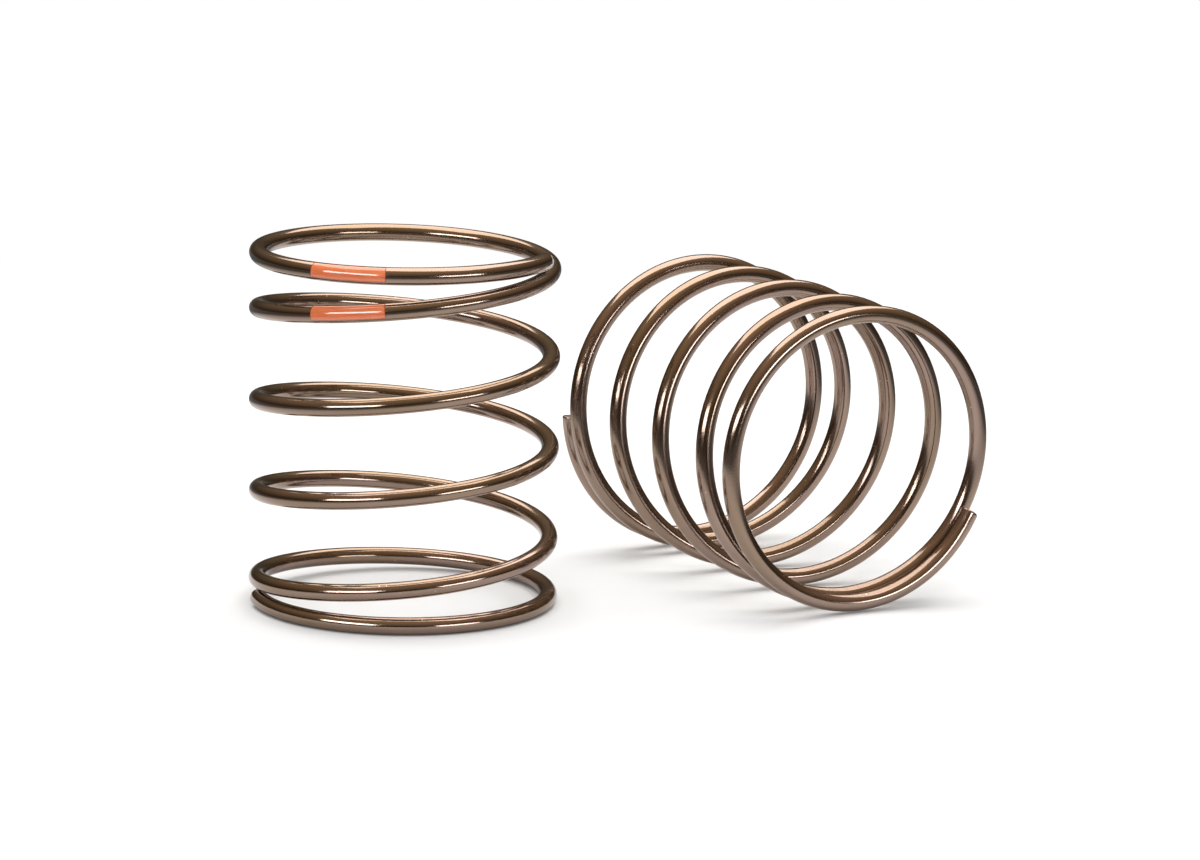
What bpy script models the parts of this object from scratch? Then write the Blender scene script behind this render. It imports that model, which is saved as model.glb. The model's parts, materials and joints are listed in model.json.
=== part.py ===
"""A pair of helical compression springs for a small shock absorber.

One spring stands on its end and its twin lies on its side next to it. Each is
one round wire wound right-handed, closed at both ends and not ground, with two
dabs of orange paint near its head that tell its rate. Everything is in metres,
+Z up, with the middle of the pair's footprint at the origin.

Each wire is modelled as three stretches: the foot coil and the head coil, which
keep their shape, and the active coils between them, which close as the spring
is pressed. They are split in planes through the spring's axis.
"""
import math

import bmesh
import bpy
from mathutils import Matrix, Vector

MM = 0.001

# The spring
OUTER_DIAMETER = 23.0 * MM
WIRE_DIAMETER = 1.3 * MM
FREE_LENGTH = 27.0 * MM
TOTAL_TURNS = 5.42
END_FLAT_TURNS = 0.34        # wire at each end that lies square to the axis
TIP_CLEARANCE = 0.04 * MM    # air between a tip and the coil it closes onto

# Where the wire is split
FOOT_COIL_TURNS = 1.10       # from the foot tip, just past the closed coil
SPLIT_GAP = 0.3 * MM         # along the wire, at each split
SPLIT_PAST_MARK = 1.5 * MM   # of bare head coil past the second dab

# The dabs of paint, on the outer side of the head's two coils
MARK_FROM_TIP = 16.0 * MM    # along the outside of the wire
MARK_LENGTH = 6.2 * MM
MARK_GAP = 0.03 * MM
MARK_THICKNESS = 0.08 * MM
MARK_LOWEST_DEG = -45.0      # round the wire, from its outermost line towards the foot
MARK_HIGHEST_DEG = 60.0      # and towards the head, short of the face that is seated

# How the two springs stand and lie
STANDING_HEAD_TIP_DEG = -17.0    # azimuth of the upper tip
LYING_OFFSET = Vector((27.8 * MM, 10.0 * MM, 0.0))   # between the springs' middles
LYING_YAW_DEG = 27.6             # of its axis, from -Y towards +X
LYING_FOOT_TIP_DEG = 25.8        # from level, turning towards the floor

# Fineness of the solids
WIRE_SIDES = 12
WIRE_STEPS_PER_TURN = 30
MARK_STEPS_PER_TURN = 60     # finer, so that the thin skin clears the wire's corners

COIL_RADIUS = (OUTER_DIAMETER - WIRE_DIAMETER) / 2
WIRE_RADIUS = WIRE_DIAMETER / 2
OUTER_GIRTH = math.pi * OUTER_DIAMETER
MARK_FROM_TIP_TURNS = MARK_FROM_TIP / OUTER_GIRTH
MARK_TURNS = MARK_LENGTH / OUTER_GIRTH
HEAD_COIL_TURNS = 1 + MARK_FROM_TIP_TURNS + MARK_TURNS + SPLIT_PAST_MARK / OUTER_GIRTH
MARK_STAND_OFF = MARK_GAP + MARK_THICKNESS


def clear_scene():
    for obj in list(bpy.data.objects):
        bpy.data.objects.remove(obj, do_unlink=True)


def ramp_area(share):
    """Integral from 0 of the smooth step 3s^2 - 2s^3, carried on past 1."""
    if share <= 0:
        return 0.0
    if share >= 1:
        return share - 0.5
    return share ** 3 - share ** 4 / 2


def pitch_for(ramp_turns):
    """Pitch of the open coils that makes the free length, for a given ramp."""
    open_turns = TOTAL_TURNS - 2 * END_FLAT_TURNS - ramp_turns
    return (FREE_LENGTH - WIRE_DIAMETER) / open_turns


def closing_ramp_turns():
    """Turns over which the pitch grows from flat to full.

    It is the ramp that leaves TIP_CLEARANCE between a tip and the coil one turn
    on, found by halving: a shorter ramp lifts that coil higher.
    """
    wanted = WIRE_DIAMETER + TIP_CLEARANCE
    short = 0.3
    long = 2.0
    for _ in range(60):
        middle = (short + long) / 2
        lift = pitch_for(middle) * middle * ramp_area((1 - END_FLAT_TURNS) / middle)
        if lift > wanted:
            short = middle
        else:
            long = middle
    return (short + long) / 2


RAMP_TURNS = closing_ramp_turns()
OPEN_PITCH = pitch_for(RAMP_TURNS)


def wire_height(turns):
    """Height of the wire's centre line above the foot, a number of turns from the foot tip."""
    climb = ramp_area((turns - END_FLAT_TURNS) / RAMP_TURNS)
    levelling = ramp_area((turns - TOTAL_TURNS + END_FLAT_TURNS + RAMP_TURNS) / RAMP_TURNS)
    return WIRE_RADIUS + OPEN_PITCH * RAMP_TURNS * (climb - levelling)


def skin_point(apothem, angle):
    """Point of a regular polygon around the wire, as (outward, up); angle 0 is outward.

    Its flats face out, in, up and down, so those sizes are the round wire's own.
    """
    facet = 2 * math.pi / WIRE_SIDES
    radius = apothem / math.cos(angle - facet * round(angle / facet))
    return radius * math.cos(angle), radius * math.sin(angle)


def wire_section():
    """Outline of the wire."""
    angles = [(side + 0.5) * 2 * math.pi / WIRE_SIDES for side in range(WIRE_SIDES)]
    return [skin_point(WIRE_RADIUS, angle) for angle in angles]


def mark_section():
    """Outline of a dab: a thin skin that follows the wire's outer facets."""
    facet = 360 / WIRE_SIDES
    corners = [(side + 0.5) * facet for side in range(-WIRE_SIDES, WIRE_SIDES)]
    inner_corners = [corner for corner in corners if MARK_LOWEST_DEG < corner < MARK_HIGHEST_DEG]
    across = [math.radians(a) for a in (MARK_LOWEST_DEG, *inner_corners, MARK_HIGHEST_DEG)]
    outer = [skin_point(WIRE_RADIUS + MARK_STAND_OFF, angle) for angle in across]
    inner = [skin_point(WIRE_RADIUS + MARK_GAP, angle) for angle in across]
    return outer + inner[::-1]


def add_ring(bm, section, turns, tip_azimuth):
    """One copy of the section, in the plane through the axis at this point of the wire."""
    azimuth = tip_azimuth + 2 * math.pi * turns
    height = wire_height(turns)
    ring = []
    for outward, up in section:
        radius = COIL_RADIUS + outward
        place = (radius * math.cos(azimuth), radius * math.sin(azimuth), height + up)
        ring.append(bm.verts.new(place))
    return ring


def sweep(name, section, start, end, tip_azimuth, steps_per_turn):
    """Mesh of a section carried along the wire from one number of turns to another."""
    bm = bmesh.new()
    steps = math.ceil((end - start) * steps_per_turn)
    rings = [
        add_ring(bm, section, start + (end - start) * step / steps, tip_azimuth)
        for step in range(steps + 1)
    ]
    sides = len(section)
    for ring, after in zip(rings, rings[1:]):
        for side in range(sides):
            following = (side + 1) % sides
            bm.faces.new((ring[side], after[side], after[following], ring[following]))
    bm.faces.new(rings[0])
    bm.faces.new(rings[-1][::-1])
    bmesh.ops.triangulate(bm, faces=bm.faces)
    bmesh.ops.recalc_face_normals(bm, faces=bm.faces)
    mesh = bpy.data.meshes.new(name)
    bm.to_mesh(mesh)
    bm.free()
    mesh.shade_smooth()
    mesh.set_sharp_from_angle(angle=math.radians(40))
    return mesh


def make_material(name, colour, metallic, roughness):
    material = bpy.data.materials.new(name)
    material.use_nodes = True
    shader = material.node_tree.nodes["Principled BSDF"]
    shader.inputs["Base Color"].default_value = (*colour, 1.0)
    shader.inputs["Metallic"].default_value = metallic
    shader.inputs["Roughness"].default_value = roughness
    return material


def add_object(name, mesh, material, parent):
    mesh.materials.append(material)
    obj = bpy.data.objects.new(name, mesh)
    obj.parent = parent
    bpy.context.collection.objects.link(obj)
    return obj


def add_empty(name, parent=None):
    empty = bpy.data.objects.new(name, None)
    empty.parent = parent
    bpy.context.collection.objects.link(empty)
    return empty


def build_coils(name, base, head, tip_azimuth, material):
    """The wire in its three stretches; the head coil hangs on the moving frame."""
    half_gap = SPLIT_GAP / OUTER_GIRTH / 2
    head_start = TOTAL_TURNS - HEAD_COIL_TURNS
    stretches = (
        ("foot_coil", 0.0, FOOT_COIL_TURNS - half_gap, base),
        ("active_coils", FOOT_COIL_TURNS + half_gap, head_start - half_gap, base),
        ("head_coil", head_start + half_gap, TOTAL_TURNS, head),
    )
    coils = []
    for part, start, end, parent in stretches:
        full_name = f"{name}_{part}"
        mesh = sweep(full_name, wire_section(), start, end, tip_azimuth, WIRE_STEPS_PER_TURN)
        coils.append(add_object(full_name, mesh, material, parent))
    return coils


def build_marks(name, head, tip_azimuth, material):
    """Two dabs, one above the other: on the last coil and one turn below it."""
    marks = []
    for part, turns_down in (("end_paint_mark", 0), ("second_paint_mark", 1)):
        end = TOTAL_TURNS - MARK_FROM_TIP_TURNS - turns_down
        full_name = f"{name}_{part}"
        start = end - MARK_TURNS
        mesh = sweep(full_name, mark_section(), start, end, tip_azimuth, MARK_STEPS_PER_TURN)
        marks.append(add_object(full_name, mesh, material, head))
    return marks


def build_spring(name, tip_azimuth, wire, paint):
    """A spring in its own frame: foot on the XY plane, axis and head along +Z."""
    base = add_empty(f"{name}_base")
    head = add_empty(f"{name}_head_slide", base)
    pieces = build_coils(name, base, head, tip_azimuth, wire)
    pieces += build_marks(name, head, tip_azimuth, paint)
    return base, pieces


def standing_tip_azimuth():
    """Azimuth of the foot tip that brings the head tip to its place."""
    return math.radians(STANDING_HEAD_TIP_DEG) - 2 * math.pi * TOTAL_TURNS


def lying_placement():
    """Frame of the lying spring: foot end near -Y, head away, paint on the floor."""
    yaw = math.radians(LYING_YAW_DEG)
    across = Vector((math.cos(yaw), math.sin(yaw), 0.0))
    down = Vector((0.0, 0.0, -1.0))
    along = Vector((-math.sin(yaw), math.cos(yaw), 0.0))
    middle = LYING_OFFSET.copy()
    middle.z = OUTER_DIAMETER / 2 + MARK_STAND_OFF
    origin = middle - along * FREE_LENGTH / 2
    turned = Matrix((across, down, along)).transposed()
    return Matrix.Translation(origin) @ turned.to_4x4()


def centre_footprint(bases, pieces):
    """Move both springs so that the middle of their common footprint is the origin."""
    bpy.context.view_layer.update()
    corners = [piece.matrix_world @ vert.co for piece in pieces for vert in piece.data.vertices]
    for axis in (0, 1):
        places = [corner[axis] for corner in corners]
        middle = (min(places) + max(places)) / 2
        for base in bases:
            base.location[axis] -= middle


def main():
    clear_scene()
    wire = make_material("bronze_plated_spring_wire", (0.28, 0.20, 0.14), 1.0, 0.25)
    paint = make_material("orange_marking_paint", (0.69, 0.13, 0.04), 0.0, 0.3)
    standing_base, standing = build_spring("standing", standing_tip_azimuth(), wire, paint)
    lying_tip = math.radians(LYING_FOOT_TIP_DEG)
    lying_base, lying = build_spring("lying", lying_tip, wire, paint)
    lying_base.matrix_world = lying_placement()
    centre_footprint((standing_base, lying_base), standing + lying)


main()
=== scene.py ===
# %% [markdown]
# # A pair of shock absorber springs
# Two equal compression springs for a small shock absorber. One stands on its end and its
# twin lies on its side. Each is a single round wire, and nothing holds the two together.
# The places come from the solid model, and the sizes match it. This script winds a smooth
# wire in the place of its faceted one, brushes the two dabs of paint on, and finishes and
# lights them.

# %% Load the solid model as a fixed frame
import json
import math

import bpy
import numpy as np
from mathutils import Matrix, Vector


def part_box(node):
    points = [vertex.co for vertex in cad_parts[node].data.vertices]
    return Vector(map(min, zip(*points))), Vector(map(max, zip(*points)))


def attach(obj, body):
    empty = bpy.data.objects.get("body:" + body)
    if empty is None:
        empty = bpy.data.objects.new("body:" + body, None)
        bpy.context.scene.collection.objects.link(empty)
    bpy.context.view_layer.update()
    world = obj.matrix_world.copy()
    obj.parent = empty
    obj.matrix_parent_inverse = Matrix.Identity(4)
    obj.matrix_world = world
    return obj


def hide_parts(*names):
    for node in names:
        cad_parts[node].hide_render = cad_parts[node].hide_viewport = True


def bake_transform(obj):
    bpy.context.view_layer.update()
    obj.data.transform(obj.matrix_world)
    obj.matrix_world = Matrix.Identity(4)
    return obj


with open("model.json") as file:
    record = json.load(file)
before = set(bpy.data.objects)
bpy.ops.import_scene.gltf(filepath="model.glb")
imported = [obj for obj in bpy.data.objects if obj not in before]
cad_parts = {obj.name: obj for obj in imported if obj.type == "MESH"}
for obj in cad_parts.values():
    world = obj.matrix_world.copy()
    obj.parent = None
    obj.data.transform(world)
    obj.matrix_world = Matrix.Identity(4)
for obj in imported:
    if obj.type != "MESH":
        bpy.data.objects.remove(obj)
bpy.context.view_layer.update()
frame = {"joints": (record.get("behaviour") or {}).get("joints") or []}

MM = 0.001

# %% [markdown]
# ## One function for every node
# Shapes and finishes here are both node trees. A node has settings, such as the operation
# of a Math node, and sockets, which take a number or a link. One small function adds a node
# with all of it, so the rest of the script reads as a list of what each node does.

# %% A function that adds a node
MATH = "ShaderNodeMath"
VECTOR_MATH = "ShaderNodeVectorMath"
MAP_RANGE = "ShaderNodeMapRange"
MIX = "ShaderNodeMix"
MAPPING = "ShaderNodeMapping"
NOISE = "ShaderNodeTexNoise"
NODE_GAP, NODES_IN_A_ROW = 190, 12


def set_inputs(tree, node, wanted):
    """Set or link a node's sockets, each to a value, a node or a node's output."""
    for socket, value in wanted.items():
        if isinstance(value, bpy.types.Node):
            value = next(out for out in value.outputs if out.enabled)
        if isinstance(value, bpy.types.NodeSocket):
            tree.links.new(value, node.inputs[socket])
        else:
            node.inputs[socket].default_value = value


def add_node(tree, kind, *inputs, **settings):
    """Add a node. The inputs come in the sockets' order, and a dict names its sockets."""
    node = tree.nodes.new(kind)
    row, column = divmod(len(tree.nodes), NODES_IN_A_ROW)
    node.location = (NODE_GAP * column, -NODE_GAP * row)
    for name, value in settings.items():
        setattr(node, name, value)
    for position, value in enumerate(inputs):
        set_inputs(tree, node, value if isinstance(value, dict) else {position: value})
    return node


# %% A function that starts a geometry tree with named inputs
def new_tree(name, inputs, outputs):
    """Empty tree and its group input and output. Each input is (name, kind, value)."""
    tree = bpy.data.node_groups.new(name, "GeometryNodeTree")
    for socket_name, kind, value in inputs:
        socket = tree.interface.new_socket(socket_name, in_out="INPUT", socket_type=kind)
        if value is not None:
            socket.default_value = value
    for socket_name, kind in outputs:
        tree.interface.new_socket(socket_name, in_out="OUTPUT", socket_type=kind)
    given = tree.nodes.new("NodeGroupInput").outputs
    return tree, given, tree.nodes.new("NodeGroupOutput")


# %% [markdown]
# ## The rule of the spring
# A closed end means that the last coil lies flat, so that the spring stands square. From
# there the pitch grows smoothly to that of the open coils, and falls again at the other
# end. The area under a smooth step gives the height of a wire whose pitch grows like that.
# The ramp is just long enough for each tip to rest on the coil next to it.

# %% Sizes of the spring
OUTER_DIAMETER = 23.0 * MM
WIRE_DIAMETER = 1.3 * MM
FREE_LENGTH = 27.0 * MM
TOTAL_TURNS = 5.42
FLAT_TURNS = 0.34            # wire at each end that lies square to the axis
TIP_CLEARANCE = 0.04 * MM    # air between a tip and the coil it closes onto
SHORTEST_RAMP, LONGEST_RAMP = 0.3, 2.0   # turns; the true one is looked for between them
HALVINGS = 60
COIL_RADIUS = (OUTER_DIAMETER - WIRE_DIAMETER) / 2
WIRE_RADIUS = WIRE_DIAMETER / 2
GIRTH = 2 * math.pi * COIL_RADIUS
WIRE_LENGTH = TOTAL_TURNS * GIRTH


def ramp_area(share):
    """Integral of the smooth step from 0, carried on past 1."""
    step = np.clip(share, 0.0, 1.0)
    return step ** 3 - step ** 4 / 2 + np.maximum(share - 1.0, 0.0)


def pitch_for(ramp_turns):
    """Pitch of the open coils that makes the free length."""
    return (FREE_LENGTH - WIRE_DIAMETER) / (TOTAL_TURNS - 2 * FLAT_TURNS - ramp_turns)


def closing_ramp_turns():
    """The ramp that leaves TIP_CLEARANCE under a tip, found by halving."""
    short, long = SHORTEST_RAMP, LONGEST_RAMP
    for _ in range(HALVINGS):
        middle = (short + long) / 2
        lift = pitch_for(middle) * middle * ramp_area((1 - FLAT_TURNS) / middle)
        if lift > WIRE_DIAMETER + TIP_CLEARANCE:
            short = middle
        else:
            long = middle
    return (short + long) / 2


RAMP_TURNS = closing_ramp_turns()
PITCH = pitch_for(RAMP_TURNS)
print(f"pitch {PITCH / MM:.3f} mm, reached over {RAMP_TURNS:.3f} turns")
print(f"each wire is {WIRE_LENGTH / MM:.0f} mm long")

# %% [markdown]
# ## Where the two springs are
# Each spring is wound along its own Z axis, and a matrix then puts it in place. The standing
# spring is in the middle of its own box. The lying spring's joint in the solid model tells
# the line it is pressed along, which is its axis, and where its fixed foot end is.

# %% Find each spring's place in the frame
STANDING_HEAD_TIP = math.radians(-17.0)   # azimuth of the upper tip
LYING_FOOT_TIP = math.radians(25.8)       # from level, turning towards the floor

corners = [
    corner
    for node in ("foot_coil", "active_coils", "head_coil")
    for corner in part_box(f"standing_{node}")
]
middle = [(min(c[i] for c in corners) + max(c[i] for c in corners)) / 2 for i in (0, 1)]
standing_place = Matrix.Translation((*middle, 0.0))

lying_joint = next(j for j in frame["joints"] if j["name"] == "lying_compression")
along = Vector(lying_joint["axis"]).normalized()
down = Vector((0.0, 0.0, -1.0))
lying_foot = Vector(lying_joint["deforming_nodes"][0]["fixed_end_m"])
turned = Matrix((down.cross(along), down, along)).transposed().to_4x4()
lying_place = Matrix.Translation(lying_foot) @ turned

SPRINGS = {                  # place, azimuth of the foot tip, strength of the painted highlight by the head tip
    "standing": (standing_place, STANDING_HEAD_TIP - 2 * math.pi * TOTAL_TURNS, 1.0),
    "lying": (lying_place, LYING_FOOT_TIP, 0.15),
}
for spring, (place, *_) in SPRINGS.items():
    print(spring, "foot at, mm:", [round(v / MM, 2) for v in place.translation])

# %% [markdown]
# ## The rule as nodes
# The same rule goes into two small node groups, so that the wire and the paint follow one
# curve. The first is the area under the smooth step. The second takes a number of turns
# from the foot tip, and gives the middle of the wire there and its outward and upward
# directions. A curve object could be swept instead, but its round section turns as it goes,
# and the paint would have no "outward" to sit on.

# %% Group: area under a smooth step
area_tree, given, out = new_tree(
    "Area Under a Smooth Step",
    [("Share", "NodeSocketFloat", 0.0)],
    [("Area", "NodeSocketFloat"), ("Step", "NodeSocketFloat")],
)
tree = area_tree
held = add_node(tree, "ShaderNodeClamp", given["Share"])
cube = add_node(tree, MATH, held, 3.0, operation="POWER")
fourth = add_node(tree, MATH, held, 4.0, operation="POWER")
inner = add_node(tree, MATH, fourth, -0.5, cube, operation="MULTIPLY_ADD")
past = add_node(tree, MATH, given["Share"], 1.0, operation="SUBTRACT")
beyond = add_node(tree, MATH, past, 0.0, operation="MAXIMUM")
area = add_node(tree, MATH, inner, beyond, operation="ADD")
smooth = add_node(tree, MAP_RANGE, given["Share"], interpolation_type="SMOOTHSTEP")
set_inputs(tree, out, {"Area": area, "Step": smooth})

# %% Group: a place on the spring's curve
GROUP = "GeometryNodeGroup"
RULE = [
    ("Coil Radius", "NodeSocketFloat", COIL_RADIUS),
    ("Wire Radius", "NodeSocketFloat", WIRE_RADIUS),
    ("Total Turns", "NodeSocketFloat", TOTAL_TURNS),
    ("Flat Turns", "NodeSocketFloat", FLAT_TURNS),
    ("Ramp Turns", "NodeSocketFloat", RAMP_TURNS),
    ("Pitch", "NodeSocketFloat", PITCH),
    ("Tip Azimuth", "NodeSocketFloat", 0.0),
]
place_tree, given, out = new_tree(
    "Place on the Coil",
    [("Turns", "NodeSocketFloat", 0.0), *RULE],
    [(name, "NodeSocketVector") for name in ("Centre", "Outward", "Upward")],
)
tree = place_tree
past_flat = add_node(tree, MATH, given["Turns"], given["Flat Turns"], operation="SUBTRACT")
climb_share = add_node(tree, MATH, past_flat, given["Ramp Turns"], operation="DIVIDE")
to_head = add_node(tree, MATH, given["Total Turns"], given["Turns"], operation="SUBTRACT")
to_flat = add_node(tree, MATH, to_head, given["Flat Turns"], operation="SUBTRACT")
head_share = add_node(tree, MATH, to_flat, given["Ramp Turns"], operation="DIVIDE")
level_share = add_node(tree, MATH, 1.0, head_share, operation="SUBTRACT")
climb = add_node(tree, GROUP, {"Share": climb_share}, node_tree=area_tree)
level = add_node(tree, GROUP, {"Share": level_share}, node_tree=area_tree)
risen = add_node(tree, MATH, climb.outputs[0], level.outputs[0], operation="SUBTRACT")
full_rise = add_node(tree, MATH, given["Pitch"], given["Ramp Turns"], operation="MULTIPLY")
height = add_node(tree, MATH, risen, full_rise, given["Wire Radius"], operation="MULTIPLY_ADD")

# %% Group: the directions there
steep = add_node(tree, MATH, climb.outputs[1], level.outputs[1], operation="SUBTRACT")
rise = add_node(tree, MATH, steep, given["Pitch"], operation="MULTIPLY")
girth = add_node(tree, MATH, given["Coil Radius"], 2 * math.pi, operation="MULTIPLY")
tilt = add_node(tree, MATH, rise, girth, operation="ARCTAN2")
azimuth = add_node(
    tree, MATH, given["Turns"], 2 * math.pi, given["Tip Azimuth"], operation="MULTIPLY_ADD"
)
cosine = add_node(tree, MATH, azimuth, operation="COSINE")
sine = add_node(tree, MATH, azimuth, operation="SINE")
outward = add_node(tree, "ShaderNodeCombineXYZ", cosine, sine)
lean = add_node(tree, MATH, tilt, operation="SINE")
back = add_node(tree, MATH, lean, -1.0, operation="MULTIPLY")
upward = add_node(
    tree, "ShaderNodeCombineXYZ",
    add_node(tree, MATH, sine, lean, operation="MULTIPLY"),
    add_node(tree, MATH, cosine, back, operation="MULTIPLY"),
    add_node(tree, MATH, tilt, operation="COSINE"),
)
to_wire = add_node(tree, VECTOR_MATH, outward, {"Scale": given["Coil Radius"]}, operation="SCALE")
lift = add_node(tree, "ShaderNodeCombineXYZ", {"Z": height})
centre = add_node(tree, VECTOR_MATH, to_wire, lift, operation="ADD")
set_inputs(tree, out, {"Centre": centre, "Outward": outward, "Upward": upward})
print("the rule has", len(place_tree.nodes) + len(area_tree.nodes), "nodes")


# %% Functions that both shapes' trees use
JOIN_DISTANCE = 0.002 * MM


def coil_place(tree, given, turns, outward_by, upward_by):
    """Position that far outward and upward from the middle of the wire."""
    rule = {name: given[name] for name, *_ in RULE}
    spot = add_node(tree, GROUP, {"Turns": turns, **rule}, node_tree=place_tree)
    out_part = add_node(
        tree, VECTOR_MATH, spot.outputs["Outward"], {"Scale": outward_by}, operation="SCALE"
    )
    up_part = add_node(
        tree, VECTOR_MATH, spot.outputs["Upward"], {"Scale": upward_by}, operation="SCALE"
    )
    offset = add_node(tree, VECTOR_MATH, out_part, up_part, operation="ADD")
    return add_node(tree, VECTOR_MATH, spot.outputs["Centre"], offset, operation="ADD")


def finish_tree(tree, given, out, shape):
    """Join the seams, shade smooth, make it real geometry and give it its material."""
    joined = add_node(
        tree, "GeometryNodeMergeByDistance", {"Geometry": shape, "Distance": JOIN_DISTANCE}
    )
    smoothed = add_node(tree, "GeometryNodeSetShadeSmooth", joined)
    real = add_node(tree, "GeometryNodeRealizeInstances", smoothed)
    finished = add_node(
        tree, "GeometryNodeSetMaterial", {"Geometry": real, "Material": given["Material"]}
    )
    set_inputs(tree, out, {"Geometry": finished})


# %% [markdown]
# ## Winding the wire
# A flat grid is rolled up: one side of it runs along the wire, and the other runs round it.
# The first and last few rows close the tube. They make the flat face that the cutter
# leaves and the small round edge about it. Merge by Distance then joins the seam and the
# middle of each face. The tree also writes where each point is on a straight wire, in
# millimetres, because drawing marks and scratches follow the wire and not the room.

# %% Sizes of the mesh of the wire
RINGS_PER_TURN = 120
WIRE_SIDES = 32
TIP_RINGS = 8                # rings at each tip: two on the flat face, the rest on its edge
FACE_RINGS = 2
TIP_ROUNDING = 0.16 * MM     # radius that tumbling leaves on the cut edge
CUT_SLANT = 0.12             # the shear leans the face: tangent of the angle
CUT_ROUGHNESS = 0.05 * MM    # depth of the torn part of the face
TORN_GRAINS_PER_MM = 5.0
SLANT_RINGS = 6.0            # rings past the tip over which the slant fades away
FIRST_WIRE_SEED = 3
MAP_ROWS = 10                # the wire's map is cut in rows, to fill a square
ROW_FILL = 0.94              # of each row's height, so that rows don't bleed together
BODY_RINGS = MAP_ROWS * round(RINGS_PER_TURN * TOTAL_TURNS / MAP_ROWS)
RINGS = BODY_RINGS + 2 * TIP_RINGS

# %% Tree: which ring, and how far along and how wide it is
wire_tree, given, out = new_tree(
    "Wind a Spring",
    [
        *RULE,
        ("Rings", "NodeSocketInt", RINGS),
        ("Sides", "NodeSocketInt", WIRE_SIDES),
        ("Tip Rings", "NodeSocketInt", TIP_RINGS),
        ("Tip Rounding", "NodeSocketFloat", TIP_ROUNDING),
        ("Cut Slant", "NodeSocketFloat", CUT_SLANT),
        ("Cut Roughness", "NodeSocketFloat", CUT_ROUGHNESS),
        ("Painted Highlight Amount", "NodeSocketFloat", 1.0),
        ("Seed", "NodeSocketInt", FIRST_WIRE_SEED),
        ("Material", "NodeSocketMaterial", None),
    ],
    [("Geometry", "NodeSocketGeometry")],
)
tree = wire_tree
columns = add_node(tree, MATH, given["Sides"], 1.0, operation="ADD")
grid = add_node(tree, "GeometryNodeMeshGrid", 1.0, 1.0, given["Rings"], columns)
here = add_node(tree, "GeometryNodeInputPosition")
parts = add_node(tree, "ShaderNodeSeparateXYZ", here)
share = add_node(tree, MATH, parts.outputs["X"], 0.5, operation="ADD")
around_share = add_node(tree, MATH, parts.outputs["Y"], 0.5, operation="ADD")
last = add_node(tree, MATH, given["Rings"], 1.0, operation="SUBTRACT")
ring = add_node(tree, MATH, share, last, operation="MULTIPLY")
from_head = add_node(tree, MATH, last, ring, operation="SUBTRACT")
nearest = add_node(tree, MATH, ring, from_head, operation="MINIMUM")
face_share = add_node(tree, MATH, nearest, FACE_RINGS, operation="DIVIDE", use_clamp=True)
edge_rings = add_node(tree, MATH, given["Tip Rings"], FACE_RINGS, operation="SUBTRACT")


def edge_angle(rings_away):
    """Angle turned on the rounded edge of a tip, from 0 on its face to a right angle."""
    past_face = add_node(tree, MATH, rings_away, FACE_RINGS, operation="SUBTRACT")
    turned_share = add_node(tree, MATH, past_face, edge_rings, operation="DIVIDE", use_clamp=True)
    return add_node(tree, MATH, turned_share, math.pi / 2, operation="MULTIPLY")


foot_angle = edge_angle(ring)
head_angle = edge_angle(from_head)
tip_angle = add_node(tree, MATH, foot_angle, head_angle, operation="MINIMUM")
tip_sine = add_node(tree, MATH, tip_angle, operation="SINE")
face_radius = add_node(
    tree, MATH, given["Wire Radius"], given["Tip Rounding"], operation="SUBTRACT"
)
face_part = add_node(tree, MATH, face_radius, face_share, operation="MULTIPLY")
radius = add_node(tree, MATH, tip_sine, given["Tip Rounding"], face_part, operation="MULTIPLY_ADD")

# %% Tree: length along the wire
past_tip = add_node(tree, MATH, ring, given["Tip Rings"], operation="SUBTRACT")
two_tips = add_node(tree, MATH, given["Tip Rings"], 2.0, operation="MULTIPLY")
body_rings = add_node(tree, MATH, last, two_tips, operation="SUBTRACT")
body_share = add_node(tree, MATH, past_tip, body_rings, operation="DIVIDE", use_clamp=True)
one_turn = add_node(tree, MATH, given["Coil Radius"], 2 * math.pi, operation="MULTIPLY")
length = add_node(tree, MATH, one_turn, given["Total Turns"], operation="MULTIPLY")
both_edges = add_node(tree, MATH, given["Tip Rounding"], 2.0, operation="MULTIPLY")
body_length = add_node(tree, MATH, length, both_edges, operation="SUBTRACT")
foot_cosine = add_node(tree, MATH, foot_angle, operation="COSINE")
head_cosine = add_node(tree, MATH, head_angle, operation="COSINE")
cosines = add_node(tree, MATH, head_cosine, foot_cosine, operation="SUBTRACT")
edge_share = add_node(tree, MATH, cosines, 1.0, operation="ADD")
edges_along = add_node(tree, MATH, edge_share, given["Tip Rounding"], operation="MULTIPLY")
even_along = add_node(tree, MATH, body_share, body_length, edges_along, operation="MULTIPLY_ADD")

# %% Tree: round the wire, and the slanted, torn faces
around = add_node(tree, MATH, around_share, 2 * math.pi, math.pi, operation="MULTIPLY_ADD")
around_cosine = add_node(tree, MATH, around, operation="COSINE")
around_sine = add_node(tree, MATH, around, operation="SINE")
out_by = add_node(tree, MATH, radius, around_cosine, operation="MULTIPLY")
up_by = add_node(tree, MATH, radius, around_sine, operation="MULTIPLY")
grain_at = add_node(tree, "ShaderNodeCombineXYZ", out_by, up_by, given["Seed"])
grain = add_node(tree, NOISE, {"Vector": grain_at, "Scale": TORN_GRAINS_PER_MM / MM, "Detail": 3.0})
uneven = add_node(tree, MATH, grain, -0.5, operation="ADD")
torn = add_node(tree, MATH, uneven, given["Cut Roughness"], operation="MULTIPLY")
lean_by = add_node(tree, MATH, out_by, given["Cut Slant"], torn, operation="MULTIPLY_ADD")
near_tip = add_node(
    tree, MAP_RANGE,
    {"Value": nearest, "From Min": TIP_RINGS + SLANT_RINGS, "From Max": TIP_RINGS},
)
shift = add_node(tree, MATH, lean_by, near_tip, operation="MULTIPLY")
along_wire = add_node(tree, MATH, even_along, shift, operation="ADD")
turns = add_node(tree, MATH, along_wire, one_turn, operation="DIVIDE")

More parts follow.
